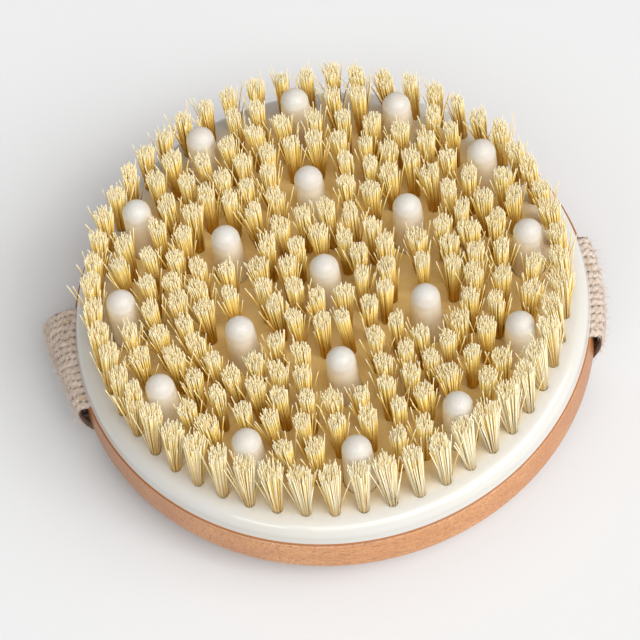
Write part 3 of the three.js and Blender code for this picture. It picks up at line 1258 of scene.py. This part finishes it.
@dataclass
class HandStrap:
    """The ribbed webbing that leaves the head on both sides and passes under it."""

    line: StrapLine
    wood_radius: float
    wood_top: float
    node: str = "hand_strap"
    width: float = 28.4 * MM
    thickness: float = 1.4 * MM
    plate_clearance: float = 0.3 * MM
    end: float = 38 * MM
    lower_bend: float = 0.93
    ribs: int = 14
    rib_height: float = 0.6 * MM
    stitch: float = 1.5 * MM
    slant: float = 0.75
    waver: float = 0.13
    slip: float = 0.25
    waves: int = 12
    wave_spread: Pair = (1.1, 1.6)
    swell: Pair = (0.7, 1.0)
    fullness: float = 0.8
    least_groove: float = 0.55
    least_stitch: float = 0.45
    least_edge: float = 0.15
    inner_shade: float = 0.4
    outer_per_rib: int = 7
    inner_per_rib: int = 2
    rows: int = 760
    bend_steps: int = 24
    lint_count: int = 22000
    lint_length: Pair = (0.5 * MM, 1.5 * MM)
    lint_radius: float = 0.04 * MM
    lint_taper: Pair = (1.0, 0.7)
    lint_from: float = 2 * MM
    lint_lift: Pair = (0.2, 1.0)
    lint_scatter: float = 0.6
    lint_curl: float = 0.4
    lint_edge: int = 9
    lint_stations: tuple[float, ...] = (0.0, 0.5, 1.0)
    lint_sides: int = 4
    seed: int = 7
    left: StrapLoop = StrapLoop(Side.LEFT, 2.85 * MM, 9.05 * MM, 1.8)
    right: StrapLoop = StrapLoop(Side.RIGHT, 2.6 * MM, 2.35 * MM, 1.0)
    finish: WebbingFinish = WebbingFinish()
    lint: LintFinish = LintFinish()

    def half_path(self, loop: StrapLoop, across: float) -> np.ndarray:
        """The path of one strip of the webbing, from its end in the wood to the lower run.

        Args:
            loop: The side that the strip leaves on.
            across: The strip's place across the strap.

        Returns:
            Rows of X, Z and the outward direction's X and Z.
        """
        share = across / self.width + 0.5
        bulge = loop.near_bulge + (loop.far_bulge - loop.near_bulge) * share**loop.growth
        edge_y = self.line.at(loop.side.value * self.wood_radius) + across
        rim = math.sqrt(self.wood_radius**2 - edge_y**2)
        upper = bulge - self.thickness / 2
        upper_z = self.wood_top - self.plate_clearance - self.thickness / 2
        lower = self.lower_bend * (upper_z - upper - self.thickness / 2)
        lower_x = rim + upper - lower
        lower_z = self.thickness / 2 + lower
        down = np.radians(np.linspace(90, 0, self.bend_steps + 1))
        under = np.radians(np.linspace(0, -90, self.bend_steps + 1))
        bends = [(rim, upper_z - upper, upper, down), (lower_x, lower_z, lower, under)]
        stations = [np.array([[self.end, upper_z, 0.0, 1.0]])]
        for centre_x, centre_z, radius, angles in bends:
            out_x, out_z = np.cos(angles), np.sin(angles)
            rows = [centre_x + radius * out_x, centre_z + radius * out_z, out_x, out_z]
            stations.append(np.stack(rows, 1))
        path = np.concatenate(stations)
        path[:, [0, 2]] *= loop.side.value
        return path

    def strip(self, across: float) -> np.ndarray:
        """One strip of the webbing from end to end, in even steps.

        Args:
            across: The strip's place across the strap.

        Returns:
            Rows of X, Z and the outward direction's X and Z.
        """
        path = np.concatenate([self.half_path(self.left, across), self.half_path(self.right, across)[::-1]])
        steps = np.hypot(np.diff(path[:, 0]), np.diff(path[:, 1]))
        gone = np.concatenate([[0.0], np.cumsum(steps)])
        wanted = np.linspace(0, gone[-1], self.rows + 1)
        return np.stack([np.interp(wanted, gone, path[:, k]) for k in range(4)], 1)

    def flat_length(self) -> float:
        """The strap's length along its middle."""
        path = self.strip(0.0)
        return float(np.hypot(np.diff(path[:, 0]), np.diff(path[:, 1])).sum())

    def relief(self, columns: int, draw: np.random.Generator) -> np.ndarray:
        """How far one face of the webbing rises from its grooves, from 0 to 1.

        Args:
            columns: How many columns of faces lie across the strap.
            draw: Where random numbers come from.

        Returns:
            The rise, as columns by rows.
        """
        places = np.linspace(0, self.ribs, columns + 1)[:, None]
        stitches = np.linspace(0, self.flat_length() / self.stitch, self.rows + 1)[None, :]
        sway = np.zeros((columns + 1, self.rows + 1))
        slip = np.zeros_like(sway)
        for _ in range(self.waves):
            across, along = (draw.normal(0, spread) for spread in self.wave_spread)
            start = draw.uniform(0, FULL_TURN)
            sway += np.sin(across * places + along * stitches + start) / math.sqrt(self.waves)
            slip += np.cos(across * stitches - along * places + start) / math.sqrt(self.waves)
        at = np.clip(places + self.waver * sway, 0, self.ribs - 0.001)
        rib = at.astype(int)
        within = at - rib
        begin = draw.uniform(1, 2, self.ribs)
        turn = stitches + begin[rib] + self.slant * within + self.slip * slip
        number = turn.astype(int)
        swell = draw.uniform(*self.swell, (self.ribs, number.max() + 1))
        groove = draw.uniform(0, FULL_TURN, self.ribs + 1)[np.rint(at).astype(int)]
        open_share = 0.5 + 0.5 * np.sin(FULL_TURN * (stitches + self.slip * slip) + groove)
        depth = self.least_groove + (1 - self.least_groove) * open_share
        crest = 1 - (1 - np.sin(math.pi * within) ** self.fullness) * depth
        bulge = np.sin(math.pi * (turn - number)) ** self.fullness
        stitch = self.least_stitch + (1 - self.least_stitch) * bulge
        return crest * stitch * swell[rib, number]

    def face(self, per_rib: int, side: int) -> tuple[np.ndarray, np.ndarray, np.ndarray]:
        """One face of the webbing, with its ribs and stitches.

        Args:
            per_rib: How many columns make a rib.
            side: 1 for the outer face and -1 for the inner.

        Returns:
            The points and the outward directions, as columns of rows, and how far each point rises.
        """
        columns = self.ribs * per_rib
        rises = self.relief(columns, np.random.default_rng(self.seed + side))
        core = self.thickness / 2 - self.rib_height
        points = np.zeros((columns + 1, self.rows + 1, 3))
        outward = np.zeros_like(points)
        for column in range(columns + 1):
            place = column / columns
            across = self.width * (place - 0.5)
            edge = min(place, 1 - place) * self.width
            rounding = math.sqrt(min(1.0, edge / self.thickness + self.least_edge))
            path = self.strip(across)
            height = side * rounding * (core + self.rib_height * rises[column])
            outward[column][:, [0, 2]] = path[:, 2:]
            points[column][:, [0, 2]] = path[:, :2] + height[:, None] * path[:, 2:]
            points[column, :, 1] = self.line.at(path[:, 0]) + across
        return points, outward, rises

    def loose_fibres(self) -> Piece:
        """Makes the loose fibres on the two loops, where the webbing shows.

        Returns:
            The finished piece.
        """
        points, outward, _ = self.face(self.outer_per_rib, 1)
        draw = np.random.default_rng(self.seed + 2)
        column = draw.integers(0, len(points), self.lint_count)
        row = draw.integers(0, self.rows + 1, self.lint_count)
        roots, out = points[column, row], outward[column, row]
        outside = np.hypot(roots[:, 0], roots[:, 1]) > self.wood_radius
        shown = outside & (roots[:, 2] > self.lint_from)
        roots, out, column = roots[shown], out[shown], column[shown]
        count = len(roots)
        ways = out * draw.uniform(*self.lint_lift, count)[:, None]
        ways += draw.normal(0, self.lint_scatter, (count, 3))
        ways[:, 1] += (2 * column / (len(points) - 1) - 1) ** self.lint_edge
        ways /= np.linalg.norm(ways, axis=1)[:, None]
        curls = draw.normal(0, self.lint_curl, (count, 3))
        along = np.array(self.lint_stations)
        reach = draw.uniform(*self.lint_length, count)[:, None, None]
        steps = ways[:, None] * along[:, None] + curls[:, None] * np.square(along)[:, None]
        lines = roots[:, None] + reach * steps
        taper = np.interp(along, (0, 1), self.lint_taper)
        radii = np.tile(self.lint_radius * taper, (count, 1))
        turns = draw.uniform(0, FULL_TURN, count)
        mesh = strands("cotton_lint", lines, radii, turns, self.lint_sides)
        tint_strands(mesh, draw.uniform(0, 1, count), along, self.lint_sides)
        return linked(mesh.name, mesh)

    def build(self) -> Piece:
        """Makes the strap.

        Returns:
            The finished piece.
        """
        outer, _, outer_rise = self.face(self.outer_per_rib, 1)
        inner, _, inner_rise = self.face(self.inner_per_rib, -1)
        rows = self.rows + 1
        first = len(outer) * rows
        outer_index = np.arange(first).reshape(len(outer), rows)
        inner_index = np.arange(len(inner) * rows).reshape(len(inner), rows) + first
        faces: list[tuple[int, ...]] = []
        for grid in (outer_index, inner_index[::-1]):
            low, high = grid[:-1], grid[1:]
            quads = np.stack([low[:, :-1], low[:, 1:], high[:, 1:], high[:, :-1]], 2)
            faces.extend(map(tuple, quads.reshape(-1, 4)[:, ::-1].tolist()))
        for a, b in ((outer_index[0], inner_index[0]), (inner_index[-1], outer_index[-1])):
            strip = np.stack([b[:-1], b[1:], a[1:], a[:-1]], 1)
            faces.extend(map(tuple, strip[:, ::-1].tolist()))
        for row, forward in ((0, True), (-1, False)):
            rim = [*outer_index[:, row], *inner_index[::-1, row]]
            faces.append(tuple(int(k) for k in (rim if forward else rim[::-1])))
        points = np.concatenate([outer.reshape(-1, 3), inner.reshape(-1, 3)])
        piece = Shape(points, faces).piece("cotton_strap")
        piece.data.shade_smooth()
        rises = np.concatenate([outer_rise.ravel(), self.inner_shade * inner_rise.ravel()])
        point_values(piece.data, "rise", rises)
        return piece

    def dress(self, piece: Piece, fibres: Piece) -> None:
        """Gives the strap and its loose fibres their cotton, and works out the flat size the strap was cut
        to.

        Args:
            piece: The strap.
            fibres: The loose fibres on it.
        """
        fit(piece, self.finish.material(), [self.node])
        fit(fibres, self.lint.material(), [self.node])
        flat = (self.width, self.flat_length())


@dataclass
class StrapStaples:
    """The staples that hold the strap's ends on the wood, out of sight under the plate."""

    nodes: tuple[str, ...] = (
        "strap_staple_left_far",
        "strap_staple_left_near",
        "strap_staple_right_far",
        "strap_staple_right_near",
    )
    finish: SteelFinish = SteelFinish()

    def dress(self) -> list[Piece]:
        """Gives the staples their steel.

        Returns:
            The staples, which keep the shape of their nodes.
        """
        material = self.finish.material()
        pieces = [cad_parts[node] for node in self.nodes]
        for piece in pieces:
            piece.material_slots[0].material = material
        return pieces


# Studio


@dataclass(frozen=True)
class SoftBox:
    """A square soft light that looks at the brush."""

    name: str
    azimuth: float
    elevation: float
    distance: float
    size: float
    power: float

    def build(self, target: Vector) -> bpy.types.Object:
        """Makes the light.

        Args:
            target: The point that it looks at.

        Returns:
            The light.
        """
        turn, rise = math.radians(self.azimuth), math.radians(self.elevation)
        toward = Vector((math.cos(rise) * math.cos(turn), math.cos(rise) * math.sin(turn), math.sin(rise)))
        lamp = bpy.data.lights.new(self.name, "AREA")
        lamp.shape = "SQUARE"
        lamp.size = self.size
        lamp.energy = self.power
        light = linked(self.name, lamp)
        light.location = target + toward * self.distance
        light.rotation_euler = (-toward).to_track_quat("-Z", "Y").to_euler()
        return light


@dataclass
class Studio:
    """The pale floor, the soft lights and the camera at the photograph's angle."""

    target: Vector = field(default_factory=lambda: Vector((-3.128 * MM, -2.746 * MM, 20 * MM)))
    elevation: float = 59.812
    roll: float = -9.958
    distance: float = 585.67 * MM
    lens: float = 135.0
    sensor: float = 36.0
    clip_start: float = 10 * MM
    floor_size: float = 6.0
    sky: Colour = (1.0, 0.955, 0.915)
    sky_strength: float = 0.32
    lights: tuple[SoftBox, ...] = (
        SoftBox("key_front_right", -42, 40, 8.0, 4.4, 270.0),
        SoftBox("key_high", -50, 62, 8.0, 4.4, 150.0),
        SoftBox("key_right", -15, 43, 8.0, 4.4, 190.0),
        SoftBox("fill_front", -90, 57, 8.0, 4.4, 185.0),
        SoftBox("spark_left", -131, 45, 8.0, 2.2, 55.0),
    )
    finish: PaperFinish = PaperFinish()

    def camera(self) -> bpy.types.Object:
        """Makes the camera.

        Returns:
            The camera, which the scene then uses.
        """
        rise, roll = math.radians(self.elevation), math.radians(self.roll)
        back = Vector((0.0, -math.cos(rise), math.sin(rise)))
        right = Vector((1.0, 0.0, 0.0))
        up = Vector((0.0, math.sin(rise), math.cos(rise)))
        across = math.cos(roll) * right + math.sin(roll) * up
        upward = -math.sin(roll) * right + math.cos(roll) * up
        lens = bpy.data.cameras.new("camera")
        lens.lens = self.lens
        lens.sensor_width = self.sensor
        lens.clip_start = self.clip_start
        made = linked("camera", lens)
        turn = Matrix((across, upward, back)).transposed().to_4x4()
        made.matrix_world = Matrix.Translation(self.target + back * self.distance) @ turn
        bpy.context.scene.camera = made
        return made

    def build(self) -> None:
        """Makes the camera, the floor, the sky and the lights."""
        self.camera()
        half = self.floor_size / 2
        corners = [(-half, -half, 0.0), (half, -half, 0.0), (half, half, 0.0), (-half, half, 0.0)]
        floor = Shape(np.array(corners), [(0, 1, 2, 3)]).piece("floor")
        floor.data.materials.append(self.finish.material())
        world = bpy.data.worlds.new("sky")
        world.use_nodes = True
        background = next(n for n in world.node_tree.nodes if n.type == "BACKGROUND")
        background.inputs["Color"].default_value = (*self.sky, 1.0)
        background.inputs["Strength"].default_value = self.sky_strength
        bpy.context.scene.world = world
        for light in self.lights:
            light.build(self.target)
        bpy.context.scene.view_settings.view_transform = "Standard"


def report(pieces: Iterable[Piece]) -> None:
    """Logs each piece with its number of faces."""
    for piece in pieces:
        log.info("%s: %d faces", piece.name, len(piece.data.polygons))


def main() -> None:
    """Builds the studio and the brush, and dresses it."""
    logging.basicConfig(level=logging.INFO, format="%(name)s %(message)s")
    Studio().build()

    line = StrapLine()
    wood = WoodenBack(line, HandStrap.width)
    back = wood.build()
    wood.dress(back)
    report([back])

    strap = HandStrap(line, wood.radius, wood.top)
    webbing = strap.build()
    fibres = strap.loose_fibres()
    strap.dress(webbing, fibres)
    report([webbing, fibres])
    report(StrapStaples().dress())

    nodules = MassageNodules()
    plate = BristlePlate(nodules)
    face = plate.build()
    plate.dress(face)
    report([face])

    pegs = nodules.build(plate.top)
    nodules.dress(pegs)
    report(pegs)

    field_of_bristles = BristleField(plate, nodules)
    tufts = {group: field_of_bristles.build(group) for group in TUFT_GROUPS}
    field_of_bristles.dress(tufts)
    report(tufts.values())


if __name__ == "__main__":
    main()
